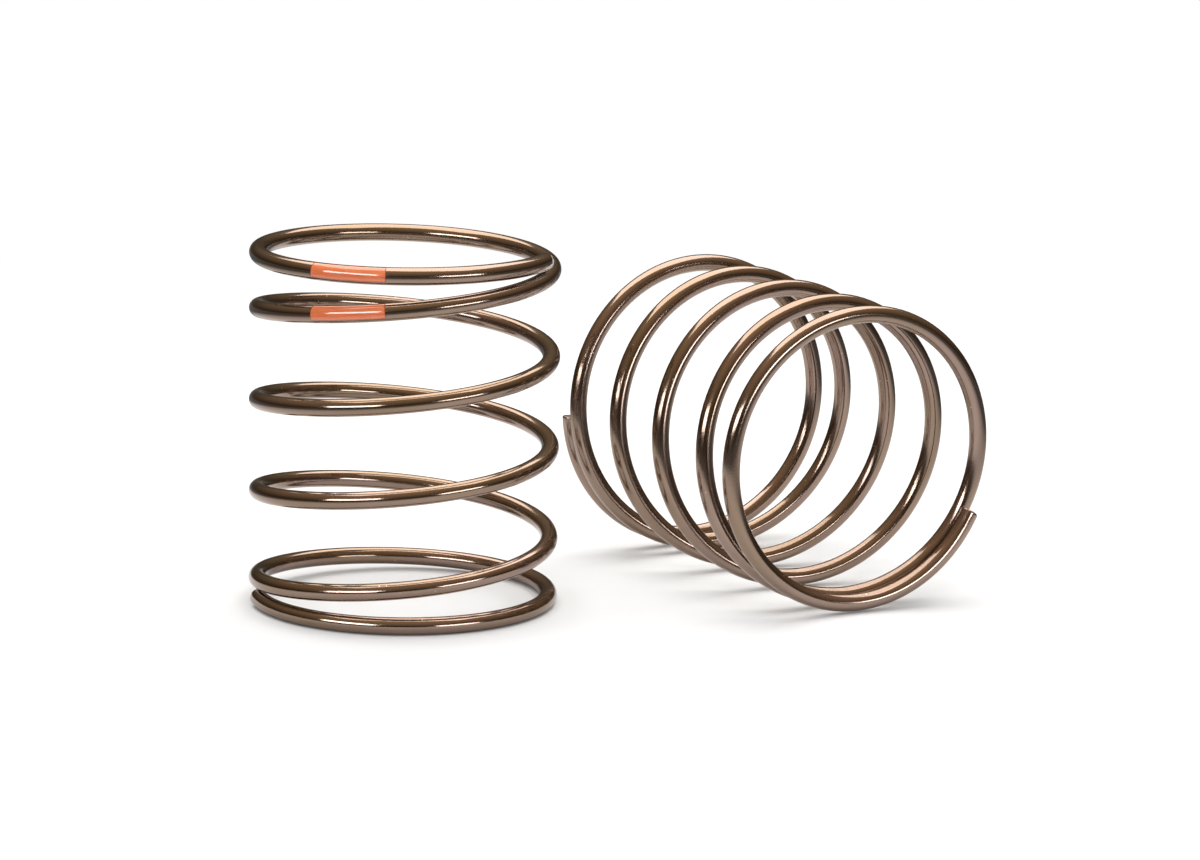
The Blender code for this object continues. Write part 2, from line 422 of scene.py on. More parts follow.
# %% Tree: what is written on the mesh
IN_MM = 1 / MM
straight = add_node(
    tree, VECTOR_MATH,
    add_node(tree, "ShaderNodeCombineXYZ", along_wire, out_by, up_by),
    {"Scale": IN_MM}, operation="SCALE",
)
spread = add_node(tree, MATH, share, float(MAP_ROWS), operation="MULTIPLY")
face_spread = add_node(tree, "GeometryNodeFieldOnDomain", spread, domain="FACE", data_type="FLOAT")
row = add_node(tree, MATH, face_spread, operation="FLOOR")
map_u = add_node(tree, MATH, spread, row, operation="SUBTRACT")
in_row = add_node(tree, MATH, around_share, ROW_FILL, (1 - ROW_FILL) / 2, operation="MULTIPLY_ADD")
up_rows = add_node(tree, MATH, row, in_row, operation="ADD")
map_v = add_node(tree, MATH, up_rows, float(MAP_ROWS), operation="DIVIDE")
wire_map = add_node(tree, "ShaderNodeCombineXYZ", map_u, map_v)
written = grid
for name, kind, domain, value in (
    ("turns", "FLOAT", "POINT", turns),
    ("straight_wire_mm", "FLOAT_VECTOR", "POINT", straight),
    ("painted_tip_light", "FLOAT", "POINT", given["Painted Highlight Amount"]),
    ("OFBake", "FLOAT2", "CORNER", wire_map),
):
    written = add_node(
        tree, "GeometryNodeStoreNamedAttribute",
        {"Geometry": written, "Name": name, "Value": value}, data_type=kind, domain=domain,
    )

# %% Tree: roll the grid up, close it and finish it
position = coil_place(tree, given, turns, out_by, up_by)
rolled = add_node(tree, "GeometryNodeSetPosition", {"Geometry": written, "Position": position})
finish_tree(tree, given, out, rolled)
print("the winding tree has", len(wire_tree.nodes), "nodes")


# %% [markdown]
# ## From a tree to a plain mesh
# The tree runs as a modifier on an object with no mesh yet. Its inputs are set by each
# socket's identifier. The result is then copied as a plain mesh, put in place and checked: its
# volume tells whether the faces point outwards.

# %% A function that makes a piece with a tree
def grow(name, tree, place, values):
    """Plain mesh object made by a geometry tree and moved into place."""
    seed_mesh = bpy.data.meshes.new(f"{name}_seed")
    maker = bpy.data.objects.new(f"{name}_maker", seed_mesh)
    bpy.context.scene.collection.objects.link(maker)
    modifier = maker.modifiers.new("Grow", "NODES")
    modifier.node_group = tree
    for item in tree.interface.items_tree:
        if item.item_type == "SOCKET" and item.in_out == "INPUT" and item.name in values:
            modifier[item.identifier] = values[item.name]
    grown = maker.evaluated_get(bpy.context.evaluated_depsgraph_get())
    mesh = bpy.data.meshes.new_from_object(grown)
    mesh.name = name
    maker.modifiers.remove(modifier)
    bpy.data.objects.remove(maker)
    bpy.data.meshes.remove(seed_mesh)
    mesh.transform(place)
    piece = bpy.data.objects.new(name, mesh)
    bpy.context.scene.collection.objects.link(piece)
    return piece


def read_points(mesh, name, width):
    """A stored point attribute, or the coordinates, as an array."""
    found = np.empty(len(mesh.vertices) * width, np.float32)
    if name == "co":
        mesh.vertices.foreach_get("co", found)
    else:
        field = "value" if width == 1 else "vector"
        mesh.attributes[name].data.foreach_get(field, found)
    return found.reshape(-1, width) if width > 1 else found


def volume_of(mesh):
    """Signed volume. It is negative where the faces point inwards."""
    mesh.calc_loop_triangles()
    places = read_points(mesh, "co", 3).astype(float)
    corner = np.array([triangle.vertices for triangle in mesh.loop_triangles])
    a, b, c = places[corner[:, 0]], places[corner[:, 1]], places[corner[:, 2]]
    return float((a * np.cross(b, c)).sum() / 6)


# %% [markdown]
# ## How the wire closes
# When a shock absorber is pressed, the foot coil stays and the head coil moves along the
# axis. Each open coil between them closes by the same share of its room, until the coils
# nearly touch. So the share of the motion that a point of the wire takes grows with the
# pitch there, beyond the wire's own thickness. It starts one turn from each tip, because
# the end coils are closed already.

# %% Share of the head's motion at each number of turns
EASE_TURNS = 0.10            # over which the closing starts, so that the wire has no kink
SOLID_PITCH = WIRE_DIAMETER + 0.01 * MM
STROKE = -lying_joint["range_m"][0]
STEPS = 6000

steps = np.linspace(0.0, TOTAL_TURNS, STEPS + 1)
climbed = ramp_area((steps - FLAT_TURNS) / RAMP_TURNS)
levelled = ramp_area((steps - TOTAL_TURNS + FLAT_TURNS + RAMP_TURNS) / RAMP_TURNS)
heights = WIRE_RADIUS + PITCH * RAMP_TURNS * (climbed - levelled)
room = np.gradient(heights, steps) - SOLID_PITCH
ease_in = np.clip((steps - 1) / EASE_TURNS, 0, 1)
ease_out = np.clip((TOTAL_TURNS - 1 - steps) / EASE_TURNS, 0, 1)
pace = np.maximum(room, 0) * ease_in * ease_out
shares = np.concatenate(([0.0], np.cumsum((pace[1:] + pace[:-1]) / 2)))
shares /= shares[-1]

closed = heights - STROKE * shares
last_start = TOTAL_TURNS - 1
lower = steps[steps <= last_start]
gaps = np.interp(lower + 1, steps, closed) - np.interp(lower, steps, closed) - WIRE_DIAMETER
print(f"least gap between coils when pressed by {STROKE / MM:.0f} mm: {gaps.min() / MM:.3f} mm")


# %% A function that works out each point's share of the head's motion
def follow_wire(piece):
    """Work out each point's share of the head's motion from its turns, not its place.

    The points are laid out on a straight line, each where a smooth step gives its share,
    the piece's place is baked into its mesh, and the points are then put back. The sine of
    a third of an angle is what undoes a smooth step.
    """
    mesh = piece.data
    places = read_points(mesh, "co", 3)
    share_here = np.interp(read_points(mesh, "turns", 1), steps, shares)
    laid_out = np.zeros_like(places)
    laid_out[:, 0] = 0.5 - np.sin(np.arcsin(1 - 2 * share_here) / 3)
    mesh.vertices.foreach_set("co", laid_out.ravel())
    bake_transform(piece)
    mesh.vertices.foreach_set("co", places.ravel())
    mesh.update()


# %% [markdown]
# ## The dabs of paint
# Springs of different rates look alike, so the maker marks each with a colour. Here two
# dabs of orange are brushed side by side across the head's two coils, from the outside, so
# they miss the inner half of the wire. Each is a film thin enough to follow the wire, with
# a rounded border where the brush stopped. It is a grid bent round the wire twice: once as
# the film's outer face and once as its under face, a hair above the wire, joined at the rim.

# %% Sizes of a dab
OUTER_GIRTH = math.pi * OUTER_DIAMETER
MARK_END = 15.6 * MM / OUTER_GIRTH      # turns from the head tip to the dab
MARK_TURNS = 5.88 * MM / OUTER_GIRTH
MARK_LOWEST = math.radians(-33)         # round the wire, from its outermost line
MARK_HIGHEST = math.radians(76)
UNDER_GAP = 0.008 * MM
FILM = 0.030 * MM
BORDER = 0.11 * MM                      # over which the film rises to its full depth
END_WOBBLE = 0.0010                     # turns: 0.07 mm of wire
SIDE_WOBBLE = math.radians(4.0)
WOBBLE_SCALE = 4.0                      # of the noise, along a side that counts as 1
WOBBLE_FADE = 4.0                       # power that keeps the wobble to the dab's edges
SIDES_APART = 7.0                       # in the noise, each opposite edge from the middle
DAB_COLUMNS, DAB_ROWS = 112, 30

# %% Tree: a dab's place on the wire
dab_tree, given, out = new_tree(
    "Brush a Dab",
    [
        *RULE,
        ("Start Turns", "NodeSocketFloat", 0.0),
        ("Dab Turns", "NodeSocketFloat", MARK_TURNS),
        ("Lowest Angle", "NodeSocketFloat", MARK_LOWEST),
        ("Highest Angle", "NodeSocketFloat", MARK_HIGHEST),
        ("Under Gap", "NodeSocketFloat", UNDER_GAP),
        ("Film", "NodeSocketFloat", FILM),
        ("Border", "NodeSocketFloat", BORDER),
        ("End Wobble", "NodeSocketFloat", END_WOBBLE),
        ("Side Wobble", "NodeSocketFloat", SIDE_WOBBLE),
        ("Seed", "NodeSocketInt", 0),
        ("Material", "NodeSocketMaterial", None),
    ],
    [("Geometry", "NodeSocketGeometry")],
)
tree = dab_tree
grid = add_node(tree, "GeometryNodeMeshGrid", 1.0, 1.0, DAB_COLUMNS, DAB_ROWS)
here = add_node(tree, "GeometryNodeInputPosition")
parts = add_node(tree, "ShaderNodeSeparateXYZ", here)


def wobbling(side, other, strength, seed_step):
    """Uneven shift of two opposite edges of the dab. It fades to none in the middle."""
    signed = add_node(tree, MATH, side, 2.0, operation="MULTIPLY")
    far = add_node(tree, MATH, signed, operation="ABSOLUTE")
    fade = add_node(tree, MATH, far, WOBBLE_FADE, operation="POWER")
    which = add_node(tree, MATH, signed, operation="SIGN")
    apart = add_node(tree, MATH, which, SIDES_APART, given["Seed"], operation="MULTIPLY_ADD")
    at = add_node(tree, "ShaderNodeCombineXYZ", other, apart, seed_step)
    noise = add_node(tree, NOISE, {"Vector": at, "Scale": WOBBLE_SCALE, "Detail": 2.0})
    swing = add_node(tree, MATH, noise, -0.5, operation="ADD")
    faded = add_node(tree, MATH, swing, fade, operation="MULTIPLY")
    return add_node(tree, MATH, faded, strength, operation="MULTIPLY")


share = add_node(tree, MATH, parts.outputs["X"], 0.5, operation="ADD")
across = add_node(tree, MATH, parts.outputs["Y"], 0.5, operation="ADD")
end_shift = wobbling(parts.outputs["X"], parts.outputs["Y"], given["End Wobble"], 1.0)
side_shift = wobbling(parts.outputs["Y"], parts.outputs["X"], given["Side Wobble"], 2.0)
even_turns = add_node(
    tree, MATH, share, given["Dab Turns"], given["Start Turns"], operation="MULTIPLY_ADD"
)
turns = add_node(tree, MATH, even_turns, end_shift, operation="ADD")
sweep = add_node(tree, MATH, given["Highest Angle"], given["Lowest Angle"], operation="SUBTRACT")
even_angle = add_node(tree, MATH, across, sweep, given["Lowest Angle"], operation="MULTIPLY_ADD")
angle = add_node(tree, MATH, even_angle, side_shift, operation="ADD")

# %% Tree: distance to the dab's edge, and the depth of its film
one_turn = add_node(tree, MATH, given["Coil Radius"], 2 * math.pi, operation="MULTIPLY")
long = add_node(tree, MATH, one_turn, given["Dab Turns"], operation="MULTIPLY")
wide = add_node(tree, MATH, sweep, given["Wire Radius"], operation="MULTIPLY")
edges = []
for coordinate, size in ((parts.outputs["X"], long), (parts.outputs["Y"], wide)):
    off_middle = add_node(tree, MATH, coordinate, operation="ABSOLUTE")
    inside = add_node(tree, MATH, 0.5, off_middle, operation="SUBTRACT")
    edges.append(add_node(tree, MATH, inside, size, operation="MULTIPLY"))
edge = add_node(tree, MATH, *edges, operation="MINIMUM")
rounded = add_node(
    tree, MAP_RANGE, {"Value": edge, "From Max": given["Border"]},
    interpolation_type="SMOOTHSTEP",
)
along_dab = add_node(tree, MATH, share, long, operation="MULTIPLY")
across_dab = add_node(tree, MATH, across, wide, operation="MULTIPLY")
dab_place = add_node(
    tree, VECTOR_MATH,
    add_node(tree, "ShaderNodeCombineXYZ", along_dab, across_dab, edge),
    {"Scale": IN_MM}, operation="SCALE",
)
written = grid
for name, kind, value in (("turns", "FLOAT", turns), ("dab_mm", "FLOAT_VECTOR", dab_place)):
    written = add_node(
        tree, "GeometryNodeStoreNamedAttribute",
        {"Geometry": written, "Name": name, "Value": value}, data_type=kind, domain="POINT",
    )

# %% Tree: the two faces of the film, joined at the rim
angle_cosine = add_node(tree, MATH, angle, operation="COSINE")
angle_sine = add_node(tree, MATH, angle, operation="SINE")
under = add_node(tree, MATH, given["Wire Radius"], given["Under Gap"], operation="ADD")
over = add_node(tree, MATH, rounded, given["Film"], under, operation="MULTIPLY_ADD")
faces = []
for radius in (over, under):
    out_by = add_node(tree, MATH, radius, angle_cosine, operation="MULTIPLY")
    up_by = add_node(tree, MATH, radius, angle_sine, operation="MULTIPLY")
    position = coil_place(tree, given, turns, out_by, up_by)
    faces.append(
        add_node(tree, "GeometryNodeSetPosition", {"Geometry": written, "Position": position})
    )
flipped = add_node(tree, "GeometryNodeFlipFaces", faces[1])
both = add_node(tree, "GeometryNodeJoinGeometry")
for face in (flipped, faces[0]):
    set_inputs(tree, both, {0: face})
finish_tree(tree, given, out, both)
print("the dab tree has", len(dab_tree.nodes), "nodes")


# %% [markdown]
# ## Colours
# A hex code is what a screen shows, in sRGB. Shaders want linear light, so one function
# turns every code.

# %% A function for colours
def linear(code):
    """Linear colour of an sRGB hex code."""
    levels = [int(code[i:i + 2], 16) / 255 for i in (1, 3, 5)]
    return (*(v / 12.92 if v <= 0.04045 else ((v + 0.055) / 1.055) ** 2.4 for v in levels), 1.0)


def new_material(name):
    """Material, its tree and its Principled shader."""
    material = bpy.data.materials.new(name)
    material.use_nodes = True
    return material, material.node_tree, material.node_tree.nodes["Principled BSDF"]


# %% [markdown]
# ## The wire's finish: bronze-plated music wire
# Music wire is drawn through dies, which leaves it smooth with faint lines along it. It is
# coiled, and then a bronze-toned plating a few micrometres thick is put on. What the eye
# gets is a dark, warm metal with crisp long reflections that break up a little along the
# drawing lines and in the plating's fine grain, a slow drift between a deeper and a paler
# brown as the plating's depth varies, and a few nodules that glint. By the head tip a pale,
# streaked wedge is painted reflections and a bright line up the cut face's edge a painted
# highlight, and a pale hatched patch on the coil next to it is a painted reflection. How
# strong they are is written on each wire, because one spring shows less of them than the
# other. All the patterns are laid out on the straight wire.

# %% Material: the wire's plating
DIE_LINES_PER_MM = 9.0       # real ones are 0.03 mm apart; drawn coarser, so that they show
SATIN_PER_MM = 8.0           # grain of the plating; the real one is finer, so drawn coarser
FLECKS_PER_MM = 2.1          # cells, some of which hold a nodule
FLECK_SHARE = 0.20
LEAST_FLECK, MOST_FLECK = 0.06, 0.16     # of a cell: nodules 0.06 to 0.15 mm across
DRIFT_PER_MM = (0.09, 0.6, 0.6)          # slow along the wire, quicker across it
LINES_ALONG_PER_MM = 0.12                # so that a drawing line is some 8 mm long
RELIEF = 0.0016 * MM                     # height that a bump of 1 stands for

wire_metal, tree, shader = new_material("bronze_plated_music_wire")
straight = add_node(
    tree, "ShaderNodeAttribute", attribute_name="straight_wire_mm", attribute_type="GEOMETRY"
).outputs["Vector"]
drift_at = add_node(tree, MAPPING, {"Vector": straight, "Scale": DRIFT_PER_MM})
drift = add_node(tree, NOISE, {"Vector": drift_at, "Scale": 1.0, "Detail": 3.0})
# Noise seldom leaves 0.3 to 0.7, so Map Range stretches the middle of it to 0 to 1.
drifted = add_node(tree, MAP_RANGE, {"Value": drift, "From Min": 0.35, "From Max": 0.65})
# A Mix node's two colours are its sockets 6 and 7.
plating = add_node(
    tree, MIX, drifted, {6: linear("#907c6a"), 7: linear("#9b867b")}, data_type="RGBA"
)
line_scale = (LINES_ALONG_PER_MM, DIE_LINES_PER_MM, DIE_LINES_PER_MM)
lines_at = add_node(tree, MAPPING, {"Vector": straight, "Scale": line_scale})
lines = add_node(tree, NOISE, {"Vector": lines_at, "Scale": 1.0, "Detail": 2.0})
line_share = add_node(tree, MAP_RANGE, {"Value": lines, "From Min": 0.3, "From Max": 0.7})
satin = add_node(tree, NOISE, {"Vector": straight, "Scale": SATIN_PER_MM, "Detail": 2.0})

# %% Material: nodules in the plating
fleck = add_node(tree, "ShaderNodeTexVoronoi", {"Vector": straight, "Scale": FLECKS_PER_MM})
fleck_parts = add_node(tree, "ShaderNodeSeparateColor", fleck.outputs["Color"])
chosen = add_node(tree, MATH, fleck_parts.outputs["Red"], 1 - FLECK_SHARE, operation="GREATER_THAN")
fleck_size = add_node(
    tree, MAP_RANGE,
    {"Value": fleck_parts.outputs["Green"], "To Min": LEAST_FLECK, "To Max": MOST_FLECK},
)
fleck_dot = add_node(
    tree, MAP_RANGE,
    {"Value": fleck.outputs["Distance"], "From Min": fleck_size, "From Max": 0.01},
)
flecks = add_node(tree, MATH, fleck_dot, chosen, operation="MULTIPLY")

# %% Material: the painted highlight and reflections near the head tip
# A pale, streaked wedge on the outer lower side by the head tip is painted reflections, and the
# bright line where it runs up the cut face's edge is a painted highlight.
PAINTED_HIGHLIGHT_LENGTH = 4.3          # mm of wire
HIGHLIGHT_STARTS, HIGHLIGHT_ENDS = -1.25, 0.1  # its upper edge, round the wire in radians
SPIKE_STARTS, SPIKE_ENDS = 0.4, 0.1      # mm from the tip, where it runs up the face's edge
SOFT_EDGE = 0.12             # radians over which its upper edge fades
LOWEST_PAINTED_LIGHT = -1.5           # radians round the wire, below which neither painted mark goes
STREAKS_PER_MM = (0.9, 14.0, 14.0)

wire_parts = add_node(tree, "ShaderNodeSeparateXYZ", straight)
from_tip = add_node(tree, MATH, WIRE_LENGTH / MM, wire_parts.outputs["X"], operation="SUBTRACT")
round_angle = add_node(
    tree, MATH, wire_parts.outputs["Z"], wire_parts.outputs["Y"], operation="ARCTAN2"
)
closeness = add_node(
    tree, MAP_RANGE,
    {
        "Value": from_tip, "From Min": PAINTED_HIGHLIGHT_LENGTH, "From Max": 0.0,
        "To Min": HIGHLIGHT_STARTS, "To Max": HIGHLIGHT_ENDS,
    },
)
spike = add_node(
    tree, MAP_RANGE, {"Value": from_tip, "From Min": SPIKE_STARTS, "From Max": SPIKE_ENDS}
)
wedge_top = add_node(tree, MATH, closeness, spike, operation="ADD")
below_top = add_node(tree, MATH, wedge_top, round_angle, operation="SUBTRACT")
in_wedge = add_node(tree, MAP_RANGE, {"Value": below_top, "From Min": 0.0, "From Max": SOFT_EDGE})
outer_side = add_node(tree, MATH, round_angle, LOWEST_PAINTED_LIGHT, operation="GREATER_THAN")
near_head = add_node(tree, MATH, from_tip, PAINTED_HIGHLIGHT_LENGTH, operation="LESS_THAN")
wedge = add_node(tree, MATH, in_wedge, outer_side, operation="MULTIPLY")
wedge_here = add_node(tree, MATH, wedge, near_head, operation="MULTIPLY")
streaks_at = add_node(tree, MAPPING, {"Vector": straight, "Scale": STREAKS_PER_MM})
streaks = add_node(tree, NOISE, {"Vector": streaks_at, "Scale": 1.0, "Detail": 1.0})
streak_share = add_node(tree, MAP_RANGE, {"Value": streaks, "From Min": 0.40, "From Max": 0.50})
# How strong the painted highlight and reflections are, as written on each wire.
painted_light_strength = add_node(
    tree, "ShaderNodeAttribute", attribute_name="painted_tip_light", attribute_type="GEOMETRY"
).outputs["Fac"]
streaked = add_node(tree, MATH, wedge_here, streak_share, operation="MULTIPLY")
painted_tip_highlight = add_node(tree, MATH, streaked, painted_light_strength, operation="MULTIPLY")

# %% Material: the painted reflection on the coil next to the head tip
# A pale, hatched patch on the lower outer side of the coil under the head tip is a painted
# reflection.
REFLECTION_HALF, REFLECTION_FULL = 3.4, 1.0            # mm of wire each way: its ends, and where it is full
REFLECTION_TOP, REFLECTION_TOP_FULL = -0.25, -0.5      # radians round the wire
REFLECTION_BOTTOM_FULL = -1.2
HATCH_TURN = (0.0, 0.7, 0.7)             # the hatching runs askew to the wire
HATCH_PER_MM = (7.0, 2.0, 2.0)

from_reflection = add_node(tree, MATH, from_tip, GIRTH / MM, operation="SUBTRACT")
to_reflection = add_node(tree, MATH, from_reflection, operation="ABSOLUTE")
reflection_along = add_node(tree, MAP_RANGE, {"Value": to_reflection, "From Min": REFLECTION_HALF, "From Max": REFLECTION_FULL})
reflection_top = add_node(
    tree, MAP_RANGE, {"Value": round_angle, "From Min": REFLECTION_TOP, "From Max": REFLECTION_TOP_FULL}
)
reflection_bottom = add_node(
    tree, MAP_RANGE,
    {"Value": round_angle, "From Min": LOWEST_PAINTED_LIGHT, "From Max": REFLECTION_BOTTOM_FULL},
)
hatch_at = add_node(
    tree, MAPPING, {"Vector": straight, "Rotation": HATCH_TURN, "Scale": HATCH_PER_MM}
)
hatch = add_node(tree, NOISE, {"Vector": hatch_at, "Scale": 1.0, "Detail": 2.0})
hatched = add_node(
    tree, MAP_RANGE, {"Value": hatch, "From Min": 0.45, "From Max": 0.60, "To Max": 0.5}
)
painted_coil_reflection = reflection_along
for limit in (reflection_top, reflection_bottom, hatched, painted_light_strength):
    painted_coil_reflection = add_node(tree, MATH, painted_coil_reflection, limit, operation="MULTIPLY")

# %% Material: the cut faces
CUT_EDGE, CUT_INSIDE = 0.60, 0.54        # mm from the wire's middle, where their colour ends
TORN_PER_MM = (9.0, 4.0, 14.0)

off_axis = add_node(tree, "ShaderNodeCombineXYZ", wire_parts.outputs["Y"], wire_parts.outputs["Z"])
from_middle = add_node(tree, VECTOR_MATH, off_axis, operation="LENGTH").outputs["Value"]
cut_face = add_node(
    tree, MAP_RANGE, {"Value": from_middle, "From Min": CUT_EDGE, "From Max": CUT_INSIDE}
)
torn_at = add_node(tree, MAPPING, {"Vector": straight, "Scale": TORN_PER_MM})
torn_grain = add_node(tree, NOISE, {"Vector": torn_at, "Scale": 1.0, "Detail": 3.0})

# %% Material: put the wire's finish together
colour = plating
rough = add_node(tree, MAP_RANGE, {"Value": line_share, "To Min": 0.10, "To Max": 0.17})
# Of these colours, #efe9e2 is the painted highlight and reflections by the head tip, and cdbfb2 the
# painted reflection on the coil next to it.
for mask, code, roughness in (
    (flecks, "#f0e2c4", 0.25), (painted_coil_reflection, "#cdbfb2", 0.25),
    (painted_tip_highlight, "#efe9e2", 0.30), (cut_face, "#7d6c60", 0.28),
):
    colour = add_node(tree, MIX, {0: mask, 6: colour, 7: linear(code)}, data_type="RGBA")
    rough = add_node(tree, MATH, mask, roughness, rough, operation="MULTIPLY_ADD")
torn = add_node(tree, MATH, cut_face, torn_grain, operation="MULTIPLY")
relief = add_node(tree, MATH, line_share, 0.25, operation="MULTIPLY")
for mask, height in ((satin, 1.5), (flecks, 2.0), (painted_coil_reflection, 0.8), (painted_tip_highlight, 1.6), (torn, 8.0)):
    relief = add_node(tree, MATH, mask, height, relief, operation="MULTIPLY_ADD")
bump = add_node(tree, "ShaderNodeBump", {"Height": relief, "Strength": 1.0, "Distance": RELIEF})
# Both painted marks are made partly matt, so they stay pale whatever the metal mirrors.
scatter = add_node(tree, MATH, painted_coil_reflection, 0.45, operation="MULTIPLY")
scatter = add_node(tree, MATH, painted_tip_highlight, 0.75, scatter, operation="MULTIPLY_ADD")
mirror = add_node(tree, MATH, 1.0, scatter, operation="SUBTRACT", use_clamp=True)
set_inputs(
    tree, shader,
    {"Base Color": colour, "Roughness": rough, "Normal": bump, "Metallic": mirror},
)
print("the wire's finish has", len(tree.nodes), "nodes")

# %% [markdown]
# ## The paint's finish: orange marking enamel
# Solvent enamel dries to a hard, glossy coat. The eye gets a strong orange with a sharp
# highlight on top, softened a little by the brush. Where the film thins out at its border
# the dark wire shows through, so the colour goes deeper there.

# %% Material: marking enamel
BRUSH_PER_MM = (0.7, 7.0, 0.0)           # brush lines along the wire
PEEL_PER_MM = 3.2                        # gentle waves of the film as it dries
THIN_BORDER = 0.09                       # mm from the rim, where the wire shows through
PAINT_RELIEF = 0.003 * MM
ENAMEL_IOR = 1.65
ENAMEL_SPECULAR = 0.8

enamel, tree, shader = new_material("orange_marking_enamel")
dab_at = add_node(
    tree, "ShaderNodeAttribute", attribute_name="dab_mm", attribute_type="GEOMETRY"
).outputs["Vector"]
dab_parts = add_node(tree, "ShaderNodeSeparateXYZ", dab_at)
brush_at = add_node(tree, MAPPING, {"Vector": dab_at, "Scale": BRUSH_PER_MM})
brush = add_node(tree, NOISE, {"Vector": brush_at, "Scale": 1.0, "Detail": 2.0})
brushed = add_node(tree, MAP_RANGE, {"Value": brush, "From Min": 0.3, "From Max": 0.7})
pigment = add_node(
    tree, MIX, brushed, {6: linear("#df7041"), 7: linear("#ea7f50")}, data_type="RGBA"
)
from_rim = dab_parts.outputs["Z"]
thin = add_node(
    tree, MAP_RANGE,
    {"Value": from_rim, "From Min": THIN_BORDER, "From Max": 0.0, "To Max": 0.7},
)
tinted = add_node(tree, MIX, {0: thin, 6: pigment, 7: linear("#9c4420")}, data_type="RGBA")
peel = add_node(tree, NOISE, {"Vector": dab_at, "Scale": PEEL_PER_MM, "Detail": 1.0})
wet = add_node(tree, MATH, brushed, 0.4, peel, operation="MULTIPLY_ADD")
gloss = add_node(tree, MAP_RANGE, {"Value": brushed, "To Min": 0.08, "To Max": 0.14})
bump = add_node(tree, "ShaderNodeBump", {"Height": wet, "Strength": 1.0, "Distance": PAINT_RELIEF})
set_inputs(
    tree, shader,
    {
        "Base Color": tinted, "Roughness": gloss, "Normal": bump,
        "IOR": ENAMEL_IOR, "Specular IOR Level": ENAMEL_SPECULAR,
    },
)
print("the enamel has", len(tree.nodes), "nodes")

# %% [markdown]
# ## Making the pieces
# Each spring gets its wire, which takes the place of the three stretches of the solid
# model, and two dabs. The end dab is on the closed head coil, so it simply rides on it.
# The second dab is on the coil below, which the head doesn't quite carry along.

# %% Wind the two springs and brush their dabs
for number, (spring, (place, tip, painted_highlight_amount)) in enumerate(SPRINGS.items()):
    head = f"{spring}_head"
    wire = grow(
        f"{spring}_spring_wire", wire_tree, place,
        {
            "Tip Azimuth": tip, "Painted Highlight Amount": painted_highlight_amount, "Material": wire_metal,
            "Seed": FIRST_WIRE_SEED + number,
        },
    )
    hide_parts(*(f"{spring}_{n}" for n in ("foot_coil", "active_coils", "head_coil")))
    follow_wire(wire)
    print(f"{wire.name}: {len(wire.data.polygons)} faces, {volume_of(wire.data) / MM ** 3:.1f} mm3")
    for turns_down, node in enumerate(("end_paint_mark", "second_paint_mark")):
        start = TOTAL_TURNS - MARK_END - MARK_TURNS - turns_down
        dab = grow(
            f"{spring}_{node.replace('mark', 'dab')}", dab_tree, place,
            {
                "Tip Azimuth": tip, "Start Turns": start, "Material": enamel,
                "Seed": 11 * number + 5 * turns_down,
            },
        )
        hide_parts(f"{spring}_{node}")
        if turns_down:
            follow_wire(dab)
        else:
            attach(dab, head)
        dab_volume = volume_of(dab.data) / MM ** 3
        print(f"{dab.name}: {len(dab.data.polygons)} faces, {dab_volume:.3f} mm3")

# %% [markdown]
# ## Floor and background
# The springs stand on a white sweep. Near them the floor is matt and takes their shadows,
# and a little glow that only the camera sees brings it up to white. Further away it fades
# to plain white, which the world carries on. Bright metal mirrors the whole floor, so its
# reflections get a lit patch around the springs and a dim floor beyond, as under lamps that
# light one table. For them the world is a dim room with a brighter, warm ceiling.

# %% Floor
FLOOR_HALF = 1.2             # metres, as the next two lines are
NEAR, FAR = 0.07, 0.16       # from the middle, where the floor fades to plain white
LIT_NEAR, LIT_FAR = 0.03, 0.10   # where its lit part ends, as the springs' metal sees it
FLOOR_GLOW = 0.10            # what the camera sees on top of the lamps' light
UNLIT_LEVEL = 0.15           # brightness of the floor outside the lit part

floor_mesh = bpy.data.meshes.new("studio_floor")
floor_mesh.from_pydata(
    [(x * FLOOR_HALF, y * FLOOR_HALF, 0.0) for x, y in ((-1, -1), (1, -1), (1, 1), (-1, 1))],
    [], [(0, 1, 2, 3)],
)
floor = bpy.data.objects.new("studio_floor", floor_mesh)
bpy.context.scene.collection.objects.link(floor)
paper, tree, shader = new_material("white_sweep_paper")
tree.nodes.remove(shader)
light_path = add_node(tree, "ShaderNodeLightPath")
clear = add_node(
    tree, MATH, light_path.outputs["Is Camera Ray"], light_path.outputs["Is Transmission Ray"],
    operation="MAXIMUM",
)
matt = add_node(tree, "ShaderNodeBsdfDiffuse", {"Color": linear("#dedede")})
glow = add_node(tree, MATH, clear, FLOOR_GLOW, operation="MULTIPLY")
near_glow = add_node(tree, "ShaderNodeEmission", {"Strength": glow})
near_floor = add_node(tree, "ShaderNodeAddShader", matt, near_glow)
place_on_floor = add_node(tree, "ShaderNodeTexCoord").outputs["Object"]
distance = add_node(tree, VECTOR_MATH, place_on_floor, operation="LENGTH").outputs["Value"]
fade = add_node(
    tree, MAP_RANGE, {"Value": distance, "From Min": NEAR, "From Max": FAR},
    interpolation_type="SMOOTHSTEP",
)
unlit = add_node(
    tree, MAP_RANGE, {"Value": distance, "From Min": LIT_NEAR, "From Max": LIT_FAR},
    interpolation_type="SMOOTHSTEP",
)
unlit_seen = add_node(tree, MATH, unlit, light_path.outputs["Is Glossy Ray"], operation="MULTIPLY")
dim = add_node(tree, "ShaderNodeEmission", {"Strength": UNLIT_LEVEL})
with_dim = add_node(tree, "ShaderNodeMixShader", unlit_seen, near_floor, dim)
fade_seen = add_node(tree, MATH, fade, clear, operation="MULTIPLY")
white = add_node(tree, "ShaderNodeEmission", {"Strength": 1.0})
mixed = add_node(tree, "ShaderNodeMixShader", fade_seen, with_dim, white)
set_inputs(tree, tree.nodes["Material Output"], {"Surface": mixed})
floor_mesh.materials.append(paper)
